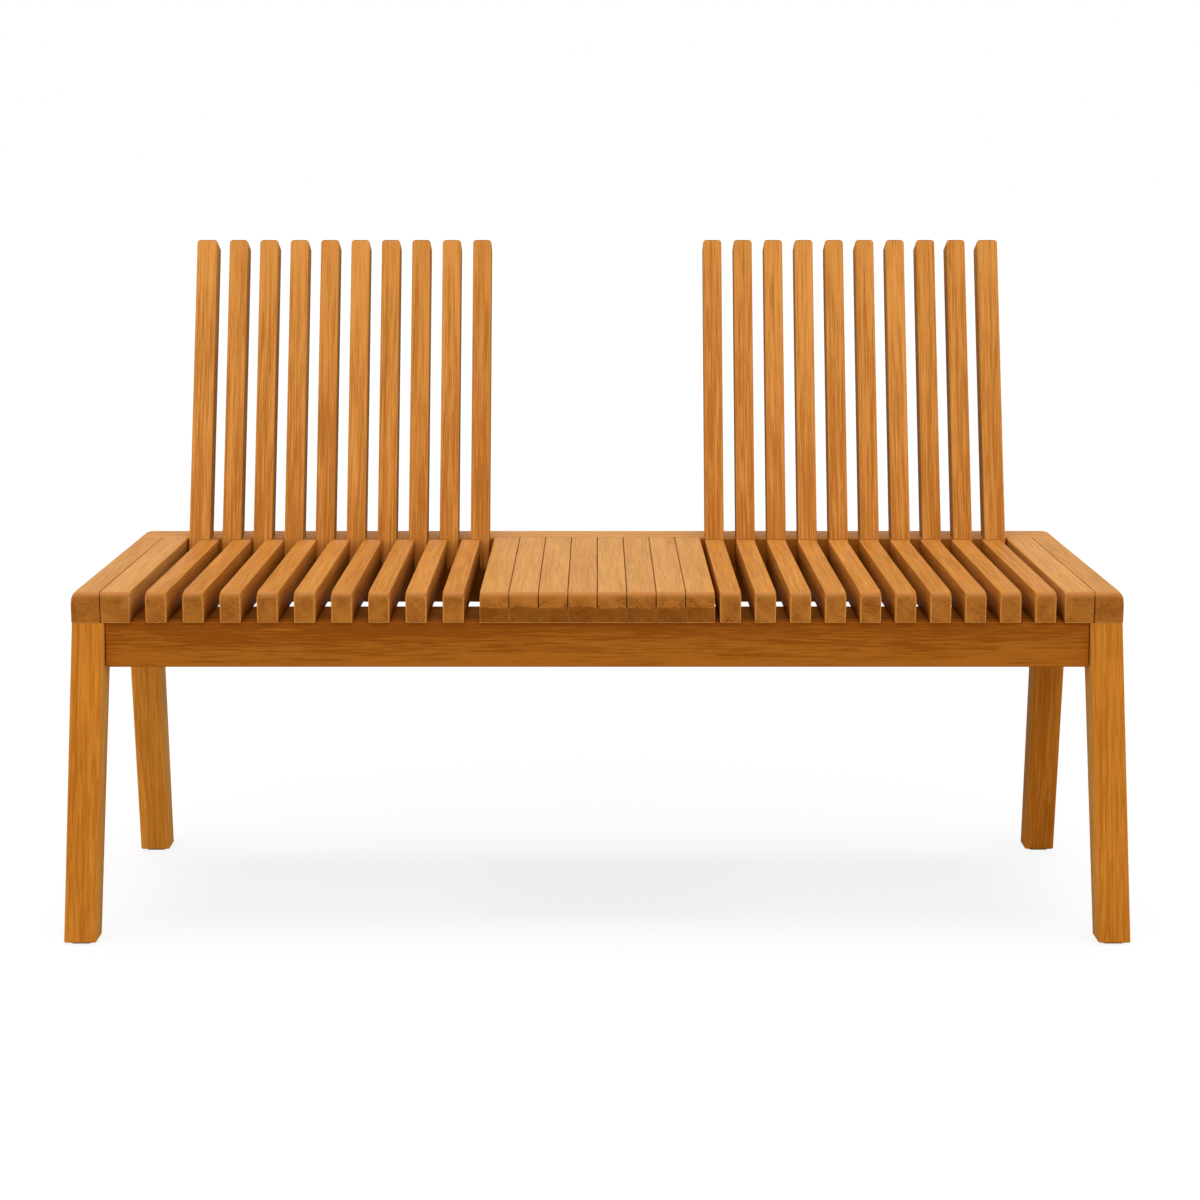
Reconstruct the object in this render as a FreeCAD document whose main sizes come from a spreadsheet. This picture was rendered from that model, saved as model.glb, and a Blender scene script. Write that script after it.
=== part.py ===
import FreeCAD, Part
import math
import os
import Sketcher

# Companion seat bench: two slatted seats with a table section between them.
# Millimetres, +Z up, front towards -Y, origin on the floor under the middle of the bench.
# Every outline is drawn in the bench's own X, Y, Z, with Y counted back from the slats' front
# ends; each body's Placement then carries it to its own X and moves the origin to the middle.

document = FreeCAD.newDocument("companion_bench")

LEFT_SEAT_SLATS = 9
RIGHT_SEAT_SLATS = 10
BACK_SLATS_PER_SEAT = 10
TABLE_SLATS = 8
SIDES = (("left", -1), ("right", 1))
EDGE_TOLERANCE = 0.01

# Driving dimensions, in millimetres, with the recline in degrees
DRIVING_SIZES = (
    ("overall_width", 1340, "across the outer faces of the end slats"),
    ("seat_height", 442, "floor to the top of the slats"),
    ("glide_thickness", 3, "plastic pad under each foot"),
    ("glide_inset", 1.5, "pad edge inside the foot's edge"),
    ("slat_height", 40, "seat, end and table slats, top to underside"),
    ("slat_length", 482, "seat slat along its top face"),
    ("seat_slat_width", 27, "narrow slats of the two seats"),
    ("wide_slat_width", 36.7, "end and table slats"),
    ("slat_joint_gap", 0.8, "expansion gap between boards laid close"),
    ("slat_nose_round", 6.5, "rounding of the slats' upper front corner"),
    ("slat_edge_bevel", 1.8, "eased long edges of the slats"),
    ("outer_edge_round", 8, "outer top edge of the end slats and of the cap rail"),
    ("right_seat_inner_gap", 6.6, "table to the first seat slat, right seat"),
    ("right_seat_outer_gap", 11.2, "last seat slat to the end slats, right seat"),
    ("back_slat_width", 27, "back slats, side to side"),
    ("back_slat_depth", 39, "back slats, front to back"),
    ("back_slat_rise", 425, "back slat top above the seat"),
    ("outer_back_slat_width", 30, "the outermost back slat of each seat, side to side"),
    ("back_slat_end_gap", 7.1, "table to the nearest back slat"),
    ("outer_back_slat_gap", 3.8, "outermost back slat to the end slats"),
    ("back_slat_corner_round", 5, "rounded top corners of the back slats"),
    ("recline", 21, "lean of the back slats from upright"),
    ("cap_rail_setback", 18, "front face of the cap rail behind the seat slats' top edge"),
    ("cap_rail_depth", 76, "cap rail, front to back"),
    ("cap_rail_end_round", 16, "rounded rear corners of the cap rail"),
    ("tongue_thickness", 10, "tongue on the rear end of the wide slats"),
    ("tongue_length", 8, "tongue beyond the slat's shoulder"),
    ("leg_width", 41, "legs, side to side"),
    ("leg_foot_depth", 44, "legs at the floor, front to back"),
    ("front_leg_setback", 1, "leg face behind the slats' front ends, at the top"),
    ("front_leg_top_depth", 58, "front legs at the top, front to back"),
    ("front_foot_forward", 81, "front foot ahead of the slats' front ends"),
    ("front_foot_outward", 9, "front foot further out than the leg's top"),
    ("rear_leg_forward", 240, "front face of the rear leg ahead of the cap rail's rear, at the top"),
    ("rear_leg_top_depth", 58, "rear legs at the top, front to back"),
    ("rear_leg_splay", 51, "front face of the rear leg further back at the floor"),
    ("rear_leg_inset", 10, "rear leg inside the line of the front leg"),
    ("leg_edge_round", 3, "eased long edges of the legs"),
    ("rail_height", 58, "front, side and cross rails"),
    ("front_rail_thickness", 28, "front rail, front to back"),
    ("front_rail_setback", 5, "front rail face behind the slats' front ends"),
    ("rail_edge_round", 2, "eased edges of the rails"),
    ("side_rail_thickness", 34, "side rails, side to side"),
    ("cross_rail_thickness", 32, "cross rails under the table"),
    ("bearer_width", 97, "slat bearer behind the front rail, front to back"),
    ("bearer_height", 30, "slat bearer and table batten, top to underside"),
    ("batten_front", 235, "front face of the batten under the table"),
    ("batten_width", 40, "table batten, front to back"),
    ("seat_slat_bearing", 18, "seat slats' underside on the rear rail"),
    ("rear_rail_thickness", 60, "rear rail, front to back"),
    ("rear_rail_height", 47, "rear rail, top to underside"),
    ("tenon_thickness", 12, "tenons of the rails"),
    ("tenon_length", 20, "tenons of the front rail in the legs"),
    ("stub_tenon_length", 12, "tenons between rails"),
    ("tenon_shoulder", 8, "rail above and below its tenon"),
    ("joint_clearance", 0.2, "between a tenon or slat and its housing"),
    ("mortise_end_room", 0.5, "mortise deeper than its tenon"),
    ("foot_tenon_width", 15, "tenon under each back slat, side to side"),
    ("foot_tenon_depth", 16, "tenon under each back slat, front to back"),
    ("foot_tenon_length", 18, "tenon under each back slat, top to bottom"),
    ("bolt_diameter", 8, "leg bolts, shank"),
    ("bolt_head_diameter", 20, "leg bolts, domed head and washer"),
    ("bolt_head_thickness", 4, "leg bolts, domed head"),
    ("nut_width", 13, "leg bolt nut, across its flats"),
    ("nut_thickness", 6.5, "leg bolt nut"),
    ("bolt_edge_distance", 15, "leg bolt from the rail's upper and lower edge"),
)

# Sizes worked out from the driving ones
DERIVED_SIZES = (
    ("half_width", "=overall_width / 2"),
    ("underside", "=seat_height - slat_height"),
    ("rail_bottom", "=underside - rail_height"),
    ("end_pair_width", "=2 * wide_slat_width + slat_joint_gap"),
    ("table_half_width", f"=({TABLE_SLATS} * wide_slat_width"
                         f" + {TABLE_SLATS - 1} * slat_joint_gap) / 2"),
    ("opening_outer", "=half_width - end_pair_width"),
    ("outer_end_slat", "=half_width - wide_slat_width / 2"),
    ("inner_end_slat", "=outer_end_slat - wide_slat_width - slat_joint_gap"),
    ("left_seat_gap", f"=(opening_outer - table_half_width - {LEFT_SEAT_SLATS} * seat_slat_width)"
                      f" / {LEFT_SEAT_SLATS + 1}"),
    ("left_seat_pitch", "=seat_slat_width + left_seat_gap"),
    ("left_seat_first", "=table_half_width + left_seat_gap + seat_slat_width / 2"),
    ("right_seat_first", "=table_half_width + right_seat_inner_gap + seat_slat_width / 2"),
    ("right_seat_last", "=opening_outer - right_seat_outer_gap - seat_slat_width / 2"),
    ("right_seat_pitch", f"=(right_seat_last - right_seat_first) / {RIGHT_SEAT_SLATS - 1}"),
    ("back_slat_first", "=table_half_width + back_slat_end_gap + back_slat_width / 2"),
    ("back_slat_last", "=opening_outer - outer_back_slat_gap - outer_back_slat_width / 2"),
    ("back_slat_pitch", "=(back_slat_last - back_slat_first + (back_slat_width"
                        f" - outer_back_slat_width) / 2) / {BACK_SLATS_PER_SEAT - 1}"),
    ("lean", "=tan(recline)"),
    ("back_foot", "=slat_length - slat_height * lean"),
    ("back_foot_depth", "=back_slat_depth / cos(recline)"),
    ("back_top_front", "=slat_length + back_slat_rise * lean"),
    ("back_top_height", "=seat_height + back_slat_rise"),
    ("back_top_rear", "=back_top_front + back_slat_depth * cos(recline)"),
    ("back_rear_height", "=back_top_height - back_slat_depth * sin(recline)"),
    ("cap_rail_front", "=slat_length + cap_rail_setback"),
    ("cap_rail_rear", "=cap_rail_front + cap_rail_depth"),
    ("wide_slat_length", "=cap_rail_front"),
    ("leg_inner_face", "=half_width - leg_width"),
    ("front_leg_middle", "=half_width - leg_width / 2"),
    ("rear_leg_middle", "=front_leg_middle - rear_leg_inset"),
    ("side_rail_middle", "=leg_inner_face - side_rail_thickness / 2"),
    ("side_rail_inner_face", "=leg_inner_face - side_rail_thickness"),
    ("cross_rail_middle", "=table_half_width - cross_rail_thickness / 2"),
    ("cross_rail_inner_face", "=table_half_width - cross_rail_thickness"),
    ("front_rail_rear", "=front_rail_setback + front_rail_thickness"),
    ("front_tenon_front", "=front_rail_setback + (front_rail_thickness - tenon_thickness) / 2"),
    ("bearer_front", "=front_rail_rear"),
    ("bearer_rear", "=bearer_front + bearer_width"),
    ("bearer_middle", "=bearer_front + bearer_width / 2"),
    ("batten_rear", "=batten_front + batten_width"),
    ("batten_middle", "=batten_front + batten_width / 2"),
    ("bearer_bottom", "=underside - bearer_height"),
    ("cross_tenon_top", "=bearer_bottom"),
    ("bearer_tenon_top", "=underside - tenon_shoulder"),
    ("bearer_tenon_bottom", "=bearer_bottom + tenon_shoulder"),
    ("rear_rail_front", "=back_foot - seat_slat_bearing"),
    ("rear_rail_rear", "=rear_rail_front + rear_rail_thickness"),
    ("rear_rail_bottom", "=underside - rear_rail_height"),
    ("rail_tenon_top", "=underside - tenon_shoulder"),
    ("rail_tenon_bottom", "=rail_bottom + tenon_shoulder"),
    ("rear_tenon_bottom", "=rear_rail_bottom + tenon_shoulder"),
    ("rear_tenon_front", "=rear_rail_front + rear_rail_thickness / 2 - tenon_thickness"),
    ("bearer_tenon_front", "=bearer_middle - tenon_thickness / 2"),
    ("batten_tenon_front", "=batten_middle - tenon_thickness / 2"),
    ("foot_tenon_front", "=back_foot + (back_foot_depth - foot_tenon_depth) / 2"),
    ("leg_stretch", "=2 * rail_height"),
    ("leg_height", "=underside - glide_thickness"),
    ("side_slope", "=front_foot_outward / leg_height"),
    ("rail_low_half", "=leg_inner_face + side_slope * rail_height"),
    ("rear_leg_top", "=cap_rail_rear - rear_leg_forward"),
    ("rear_foot_front", "=rear_leg_top + rear_leg_splay"),
    ("rear_slope", "=rear_leg_splay / leg_height"),
    ("rear_back_slope", "=rear_slope - (rear_leg_top_depth - leg_foot_depth) / leg_height"),
    ("upper_bolt", "=underside - bolt_edge_distance"),
    ("lower_bolt", "=rail_bottom + bolt_edge_distance"),
    ("origin_back", "=(back_top_rear - front_foot_forward) / 2"),
)


def size_sheet():
    """The spreadsheet: one named cell per driving size, then the sizes that follow from them."""
    sheet = document.addObject("Spreadsheet::Sheet", "sizes")
    row = 1
    for alias, value, note in DRIVING_SIZES:
        sheet.set(f"A{row}", note)
        sheet.set(f"B{row}", str(value))
        sheet.setAlias(f"B{row}", alias)
        row += 1
    for alias, formula in DERIVED_SIZES:
        sheet.set(f"A{row}", "follows from the sizes above")
        sheet.set(f"B{row}", formula)
        sheet.setAlias(f"B{row}", alias)
        row += 1
    document.recompute()
    return sheet


sheet = size_sheet()
ALIASES = sorted([row[0] for row in DRIVING_SIZES + DERIVED_SIZES], key=len, reverse=True)


def bound(formula):
    """A formula in the sheet's aliases, written so that an expression outside the sheet finds them."""
    words = []
    word = ""
    for letter in formula + " ":
        if letter.isalnum() or letter in "_.":
            word += letter
            continue
        words.append("sizes." + word if word in ALIASES else word)
        words.append(letter)
        word = ""
    return "".join(words).strip()


def new_body(label, middle="0"):
    """An empty body whose Placement sets its own X and brings the origin under the middle."""
    body = document.addObject("PartDesign::Body", label)
    body.Label = label
    body.AllowCompound = True
    body.setExpression("Placement.Base.x", bound(middle))
    body.setExpression("Placement.Base.y", bound("-origin_back"))
    return body


def new_sketch(body, name, plane="YZ_Plane", offset="0"):
    """An empty sketch on one of the body's own planes, moved along the plane's normal."""
    sketch = body.newObject("Sketcher::SketchObject", f"{body.Label}_{name}")
    for feature in body.Origin.OriginFeatures:
        if feature.Role == plane:
            sketch.AttachmentSupport = [(feature, "")]
    sketch.MapMode = "FlatFace"
    sketch.setExpression("AttachmentOffset.Base.z", bound(offset))
    return sketch


def size(formula):
    """The present value of a formula in the sheet's aliases."""
    return float(sheet.evalExpression(formula))


def pin_point(sketch, geometry, point, formula_x, formula_y):
    """Hold one point of a sketch at a place worked out from the sheet."""
    for kind, formula in (("DistanceX", formula_x), ("DistanceY", formula_y)):
        held = Sketcher.Constraint(kind, -1, 1, geometry, point, size(formula))
        index = sketch.addConstraint(held)
        sketch.setExpression(f"Constraints[{index}]", bound(formula))


def add_outline(sketch, corners):
    """A closed straight-sided outline through corners given as pairs of formulas."""
    count = len(corners)
    values = [FreeCAD.Vector(size(across), size(up), 0) for across, up in corners]
    first = sketch.GeometryCount
    for index in range(count):
        line = Part.LineSegment(values[index], values[(index + 1) % count])
        sketch.addGeometry(line, False)
    for index in range(count):
        following = first + (index + 1) % count
        sketch.addConstraint(Sketcher.Constraint("Coincident", first + index, 2, following, 1))
    for index, (formula_x, formula_y) in enumerate(corners):
        pin_point(sketch, first + index, 1, formula_x, formula_y)


def add_circles(sketch, centres, diameter):
    """Circles of one diameter at centres given as pairs of formulas."""
    radius = size(diameter) / 2
    for formula_x, formula_y in centres:
        middle = FreeCAD.Vector(size(formula_x), size(formula_y), 0)
        circle = sketch.addGeometry(Part.Circle(middle, FreeCAD.Vector(0, 0, 1), radius), False)
        width = sketch.addConstraint(Sketcher.Constraint("Diameter", circle, 2 * radius))
        sketch.setExpression(f"Constraints[{width}]", bound(diameter))
        pin_point(sketch, circle, 3, formula_x, formula_y)


def extrude(body, kind, sketch, length, both_ways=True, backwards=False):
    """A Pad or Pocket of the sketch by a length from the sheet, evenly about it or to one side."""
    feature = body.newObject(f"PartDesign::{kind}", f"{sketch.Label}_{kind.lower()}")
    feature.Profile = sketch
    feature.SideType = "Symmetric" if both_ways else "One side"
    feature.Reversed = backwards
    feature.setExpression("Length", bound(length))
    sketch.Visibility = False
    return feature


def side_pad(body, name, corners, thickness, offset="0"):
    """A board whose side view is the outline, as thick as given, centred on its own X."""
    sketch = new_sketch(body, name, offset=offset)
    add_outline(sketch, corners)
    return extrude(body, "Pad", sketch, thickness)


def side_cut(body, name, corners, thickness, offset="0"):
    """A cut whose side view is the outline, evenly about the plane at the offset."""
    sketch = new_sketch(body, name, offset=offset)
    add_outline(sketch, corners)
    return extrude(body, "Pocket", sketch, thickness)


def box_outline(front, rear, low, high):
    """The four corners of an upright rectangle in side view."""
    return [(front, low), (rear, low), (rear, high), (front, high)]


def mortise_outline(front, rear, low, high):
    """The rectangle of a tenon in side view, with the joint's clearance all round."""
    return box_outline(f"{front} - joint_clearance", f"{rear} + joint_clearance",
                       f"{low} - joint_clearance", f"{high} + joint_clearance")


def widened(outline):
    """A tenon's outline in side view with the joint's clearance all round."""
    (front, low), (rear, _), (_, high), _ = outline
    return mortise_outline(front, rear, low, high)


def edges_where(shape, wanted):
    """Names of the edges of a shape whose box passes the test."""
    return [f"Edge{number}" for number, edge in enumerate(shape.Edges, start=1)
            if wanted(edge.BoundBox)]


def soften(body, kind, wanted, amount):
    """Fillet or chamfer the edges of the body's last feature that pass the test."""
    document.recompute()
    last = body.Tip
    names = edges_where(last.Shape, wanted)
    if not names:
        raise RuntimeError(f"{body.Label}: no edge to soften")
    feature = body.newObject(f"PartDesign::{kind}", f"{body.Label}_{kind.lower()}")
    feature.Base = (last, names)
    feature.setExpression("Radius" if kind == "Fillet" else "Size", bound(amount))
    return feature


def in_plane(low, high, value):
    """True where an edge lies in the plane of that value."""
    return abs(low - value) < EDGE_TOLERANCE and abs(high - value) < EDGE_TOLERANCE


def side_edges(half_width):
    """Test for the edges in the two side faces of a board of that half width."""
    return lambda box: in_plane(box.XMin, box.XMax, half_width) or in_plane(
        box.XMin, box.XMax, -half_width)


def nose_and_sides(body, width, length):
    """Round a slat's upper front corner, then ease its top and front edges down both sides."""
    top = size("seat_height")
    bottom = size("underside")
    soften(body, "Fillet", lambda box: in_plane(box.YMin, box.YMax, 0) and in_plane(
        box.ZMin, box.ZMax, top), "slat_nose_round")
    at_side = side_edges(size(width) / 2)
    rear = size(length) - size("slat_height")

    def eased(box):
        """The top edge, the nose arc and the upright front edge of each side."""
        return at_side(box) and box.ZMax > bottom + EDGE_TOLERANCE and box.YMin < rear

    soften(body, "Chamfer", eased, "slat_edge_bevel")


# Seat slats: nosed at the front, cut at the rear to the lean of the back slats
def seat_slat(label, middle):
    body = new_body(label, middle)
    outline = [("0", "underside"), ("back_foot", "underside"),
               ("slat_length", "seat_height"), ("0", "seat_height")]
    side_pad(body, "board", outline, "seat_slat_width")
    nose_and_sides(body, "seat_slat_width", "slat_length")
    return body


# Wide slats: the end pairs and the table, tongued into the cap rail
def wide_slat_board(body, middle="0"):
    side_pad(body, "board", box_outline("0", "wide_slat_length", "underside", "seat_height"),
             "wide_slat_width", middle)
    nose_and_sides(body, "wide_slat_width", "wide_slat_length")


def tongue_outline():
    """A tongue in side view, half way up the slat's rear end and a little into the slat."""
    level = "underside + (slat_height - tongue_thickness) / 2"
    return box_outline("wide_slat_length - tongue_length", "wide_slat_length + tongue_length",
                       level, f"{level} + tongue_thickness")


def round_outer_edge(body, side):
    """Cut the slat's outer top edge to its larger round, along the slat's whole length."""
    face = f"{side} * wide_slat_width / 2"
    beyond = f"{face} + {side} * outer_edge_round"
    tangent = f"{face} - {side} * outer_edge_round"
    low = "seat_height - outer_edge_round"
    high = "seat_height + outer_edge_round"
    sketch = new_sketch(body, "outer_round", "XZ_Plane")
    corners = [(tangent, "seat_height"), (tangent, high), (beyond, high), (beyond, low),
               (face, low)]
    places = [FreeCAD.Vector(size(across), size(up), 0) for across, up in corners]
    for start, end in zip(places, places[1:]):
        sketch.addGeometry(Part.LineSegment(start, end), False)
    lines = len(corners) - 1
    for index in range(lines - 1):
        sketch.addConstraint(Sketcher.Constraint("Coincident", index, 2, index + 1, 1))
    for index in range(lines):
        pin_point(sketch, index, 1, *corners[index])
    pin_point(sketch, lines - 1, 2, *corners[lines])
    middle = FreeCAD.Vector(places[0].x, places[-1].y, 0)
    circle = Part.Circle(middle, FreeCAD.Vector(0, 0, 1), size("outer_edge_round"))
    angles = (0, math.pi / 2) if side > 0 else (math.pi / 2, math.pi)
    arc = sketch.addGeometry(Part.ArcOfCircle(circle, *angles), False)
    upper, lower = (2, 1) if side > 0 else (1, 2)
    sketch.addConstraint(Sketcher.Constraint("Coincident", arc, upper, 0, 1))
    sketch.addConstraint(Sketcher.Constraint("Coincident", arc, lower, lines - 1, 2))
    radius = sketch.addConstraint(Sketcher.Constraint("Radius", arc, size("outer_edge_round")))
    sketch.setExpression(f"Constraints[{radius}]", bound("outer_edge_round"))
    extrude(body, "Pocket", sketch, "4 * wide_slat_length")


def end_slat(label, middle, outer_side):
    body = new_body(label, middle)
    wide_slat_board(body)
    side_pad(body, "tongue", tongue_outline(), "wide_slat_width - 2 * tongue_length")
    if outer_side:
        round_outer_edge(body, outer_side)
        side_cut(body, "leg_mortise", widened(LEG_STUB), "tenon_thickness + 2 * joint_clearance",
                 f"{outer_side} * (front_leg_middle - outer_end_slat)")
    return body


def table_slat_centres():
    """X of each table slat, from left to right, as formulas."""
    return [f"(wide_slat_width + slat_joint_gap) * {index - (TABLE_SLATS - 1) / 2}"
            for index in range(TABLE_SLATS)]


def table_slats():
    body = new_body("table_slats", table_slat_centres()[0])
    wide_slat_board(body)
    side_pad(body, "tongue", tongue_outline(), "wide_slat_width")
    document.recompute()
    pattern = body.newObject("PartDesign::LinearPattern", "table_slats_row")
    pattern.TransformMode = "Whole shape"
    axis = [feature for feature in body.Origin.OriginFeatures if feature.Role == "X_Axis"][0]
    pattern.Direction = (axis, [""])
    pattern.Mode = "Spacing"
    pattern.Occurrences = TABLE_SLATS
    pattern.setExpression("Offset", bound("wide_slat_width + slat_joint_gap"))
    body.Tip = pattern
    return body


# Back slats: leaning back, standing on the rear rail, rounded at the top
BACK_OUTLINE = [("back_foot", "underside"), ("back_foot + back_foot_depth", "underside"),
                ("back_top_rear", "back_rear_height"), ("back_top_front", "back_top_height")]


def foot_tenon_outline(clearance="0", end_room="0"):
    """The tenon under a back slat in side view, on the slat's own lean, or its mortise."""
    depth = f"(foot_tenon_length + {end_room})"
    low = f"foot_tenon_front - {depth} * lean"
    high = "foot_tenon_front + tenon_shoulder * lean"
    return [(f"{low} - {clearance}", f"underside - {depth}"),
            (f"{low} + foot_tenon_depth + {clearance}", f"underside - {depth}"),
            (f"{high} + foot_tenon_depth + {clearance}", "underside + tenon_shoulder"),
            (f"{high} - {clearance}", "underside + tenon_shoulder")]


def back_slat(label, middle, width):
    body = new_body(label, middle)
    side_pad(body, "board", BACK_OUTLINE, width)
    at_side = side_edges(size(width) / 2)
    crown = size("back_rear_height")
    soften(body, "Fillet", lambda box: at_side(box) and box.ZMin > crown - EDGE_TOLERANCE,
           "back_slat_corner_round")
    face_start = size("back_foot")
    soften(body, "Chamfer", lambda box: at_side(box) and in_plane(box.YMin, box.YMin, face_start)
           and box.ZLength > EDGE_TOLERANCE, "slat_edge_bevel")
    side_pad(body, "foot_tenon", foot_tenon_outline(), "foot_tenon_width")
    return body


# Legs: tapered in side view and splayed, flat under the foot; the front ones also lean outwards
REAR_LEG = [("rear_foot_front", "glide_thickness"),
            ("rear_foot_front + leg_foot_depth", "glide_thickness"),
            ("rear_leg_top + rear_leg_top_depth", "underside"), ("rear_leg_top", "underside")]
FRONT_LEG_REAR = "front_leg_setback + front_leg_top_depth"


def leaning_post(body, outward):
    """The front leg's post: a board that leans outwards, tapered by a cut in front and one behind."""
    view = new_sketch(body, "post", "XZ_Plane", f"(front_foot_forward - ({FRONT_LEG_REAR})) / 2")
    add_outline(view, [(f"{outward} - leg_width / 2", "glide_thickness"),
                       (f"{outward} + leg_width / 2", "glide_thickness"),
                       ("leg_width / 2", "underside"), ("-leg_width / 2", "underside")])
    extrude(body, "Pad", view, f"front_foot_forward + {FRONT_LEG_REAR}")
    side_cut(body, "front_taper", [("-front_foot_forward", "glide_thickness"),
                                   ("front_leg_setback", "underside"),
                                   ("-front_foot_forward", "underside")], "4 * leg_width")
    side_cut(body, "rear_taper", [("leg_foot_depth - front_foot_forward", "glide_thickness"),
                                  (FRONT_LEG_REAR, "glide_thickness"),
                                  (FRONT_LEG_REAR, "underside")], "4 * leg_width")


def ease_leg(body):
    """Round the four long edges, from foot to top."""
    soften(body, "Fillet", lambda box: box.ZLength > size("leg_height") / 2, "leg_edge_round")


def bolt_holes(body):
    """Clearance holes for the rear leg's two bolts, right through the piece."""
    sketch = new_sketch(body, "bolt_holes")
    add_circles(sketch, rear_bolt_centres(), "bolt_diameter + 2 * joint_clearance")
    extrude(body, "Pocket", sketch, "2 * side_rail_thickness + 2 * leg_width")


def rear_bolt_centres():
    """Middle of the rear leg at the two bolts' heights, as pairs of formulas."""
    centres = []
    for level in ("upper_bolt", "lower_bolt"):
        drop = f"(underside - {level})"
        middle = f"rear_leg_top + rear_leg_top_depth / 2 + (rear_slope + rear_back_slope) / 2 * {drop}"
        centres.append((middle, level))
    return centres


def front_leg(label, side):
    body = new_body(label, f"{side} * front_leg_middle")
    leaning_post(body, f"{side} * front_foot_outward")
    ease_leg(body)
    side_pad(body, "stub", LEG_STUB, "tenon_thickness")
    side_cut(body, "rail_mortise", widened(FRONT_TENON), "2 * tenon_length + 2 * mortise_end_room",
             f"{-side} * leg_width / 2")
    return body


def rear_leg(label, side):
    body = new_body(label, f"{side} * rear_leg_middle")
    side_pad(body, "post", REAR_LEG, "leg_width")
    ease_leg(body)
    bolt_holes(body)
    return body


# Rows of slats and the places where they are fixed
def seat_slat_centres(seat):
    """X of each seat slat of a seat, from left to right, as formulas."""
    if seat == "left":
        return [f"-(left_seat_first + left_seat_pitch * {LEFT_SEAT_SLATS - 1 - index})"
                for index in range(LEFT_SEAT_SLATS)]
    return [f"right_seat_first + right_seat_pitch * {index}" for index in range(RIGHT_SEAT_SLATS)]


def back_slat_places(side):
    """X and width of each back slat of a seat, counted outwards from the table, as formulas."""
    row = [(f"{side} * (back_slat_first + back_slat_pitch * {index})", "back_slat_width")
           for index in range(BACK_SLATS_PER_SEAT - 1)]
    return row + [(f"{side} * back_slat_last", "outer_back_slat_width")]


# Rails that run across: front rail, bearer and rear rail
def cross_mortises(body, front, rear, low, high):
    """Mortises for the stub tenons of the two cross rails."""
    for name, side in SIDES:
        side_cut(body, f"{name}_cross_mortise", mortise_outline(front, rear, low, high),
                 "tenon_thickness + 2 * joint_clearance", f"{side} * cross_rail_middle")


def ease_rail(body, half_length, low):
    """Round the two lower long edges of a rail that runs across."""
    soften(body, "Fillet", lambda box: box.XLength > size(half_length)
           and in_plane(box.ZMin, box.ZMax, size(low)), "rail_edge_round")


def cut_for_back_slats(body, name, outline, width, outer_width):
    """A cut at each back slat of both seats: a row from the table out, and the outermost."""
    axis = [feature for feature in body.Origin.OriginFeatures if feature.Role == "X_Axis"][0]
    for seat, side in SIDES:
        first = side_cut(body, f"{seat}_{name}", outline, f"{width} + 2 * joint_clearance",
                         f"{side} * back_slat_first")
        document.recompute()
        row = body.newObject("PartDesign::LinearPattern", f"{seat}_{name}_row")
        row.Originals = [first]
        row.Direction = (axis, [""])
        row.Reversed = side < 0
        row.Mode = "Spacing"
        row.Occurrences = BACK_SLATS_PER_SEAT - 1
        row.setExpression("Offset", bound("back_slat_pitch"))
        body.Tip = row
        side_cut(body, f"{seat}_outer_{name}", outline, f"{outer_width} + 2 * joint_clearance",
                 f"{side} * back_slat_last")


def front_rail():
    """The front rail, whose ends follow the lean of the front legs."""
    body = new_body("front_rail")
    view = new_sketch(body, "rail", "XZ_Plane", "-(front_rail_setback + front_rail_thickness / 2)")
    add_outline(view, [("-rail_low_half", "rail_bottom"), ("rail_low_half", "rail_bottom"),
                       ("leg_inner_face", "underside"), ("-leg_inner_face", "underside")])
    extrude(body, "Pad", view, "front_rail_thickness")
    ease_rail(body, "leg_inner_face", "rail_bottom")
    side_pad(body, "tenons", FRONT_TENON, "2 * leg_inner_face + 2 * tenon_length")
    inner_end = "front_rail_rear - stub_tenon_length - mortise_end_room"
    beyond = "front_rail_rear + tenon_thickness"
    cross_mortises(body, inner_end, beyond, "rail_tenon_bottom", "cross_tenon_top")
    for name, side in SIDES:
        side_cut(body, f"{name}_side_mortise",
                 mortise_outline(inner_end, beyond, "rail_tenon_bottom", "rail_tenon_top"),
                 "tenon_thickness + 2 * joint_clearance", f"{side} * side_rail_middle")
    return body


def rear_rail():
    body = new_body("rear_rail")
    side_pad(body, "rail", box_outline("rear_rail_front", "rear_rail_rear", "rear_rail_bottom",
                                       "underside"), "2 * side_rail_inner_face")
    ease_rail(body, "side_rail_inner_face", "rear_rail_bottom")
    side_pad(body, "tenons", REAR_TENON, "2 * side_rail_inner_face + 2 * stub_tenon_length")
    cross_mortises(body, "rear_rail_front - tenon_thickness",
                   "rear_rail_front + stub_tenon_length + mortise_end_room", "rear_tenon_bottom",
                   "rail_tenon_top")
    cut_for_back_slats(body, "foot_mortise",
                       foot_tenon_outline("joint_clearance", "mortise_end_room"),
                       "foot_tenon_width", "foot_tenon_width")
    return body


def front_bearer():
    body = new_body("front_bearer")
    side_pad(body, "rail", box_outline("bearer_front", "bearer_rear", "bearer_bottom",
                                       "underside"), "2 * side_rail_inner_face")
    side_pad(body, "tenons", BEARER_TENON, "2 * side_rail_inner_face + 2 * stub_tenon_length")
    return body


def table_batten():
    """The batten half way back under the table, between the two cross rails."""
    body = new_body("table_batten")
    side_pad(body, "rail", box_outline("batten_front", "batten_rear", "bearer_bottom",
                                       "underside"), "2 * cross_rail_inner_face")
    side_pad(body, "tenons", BATTEN_TENON, "2 * cross_rail_inner_face + 2 * stub_tenon_length")
    return body


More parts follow.
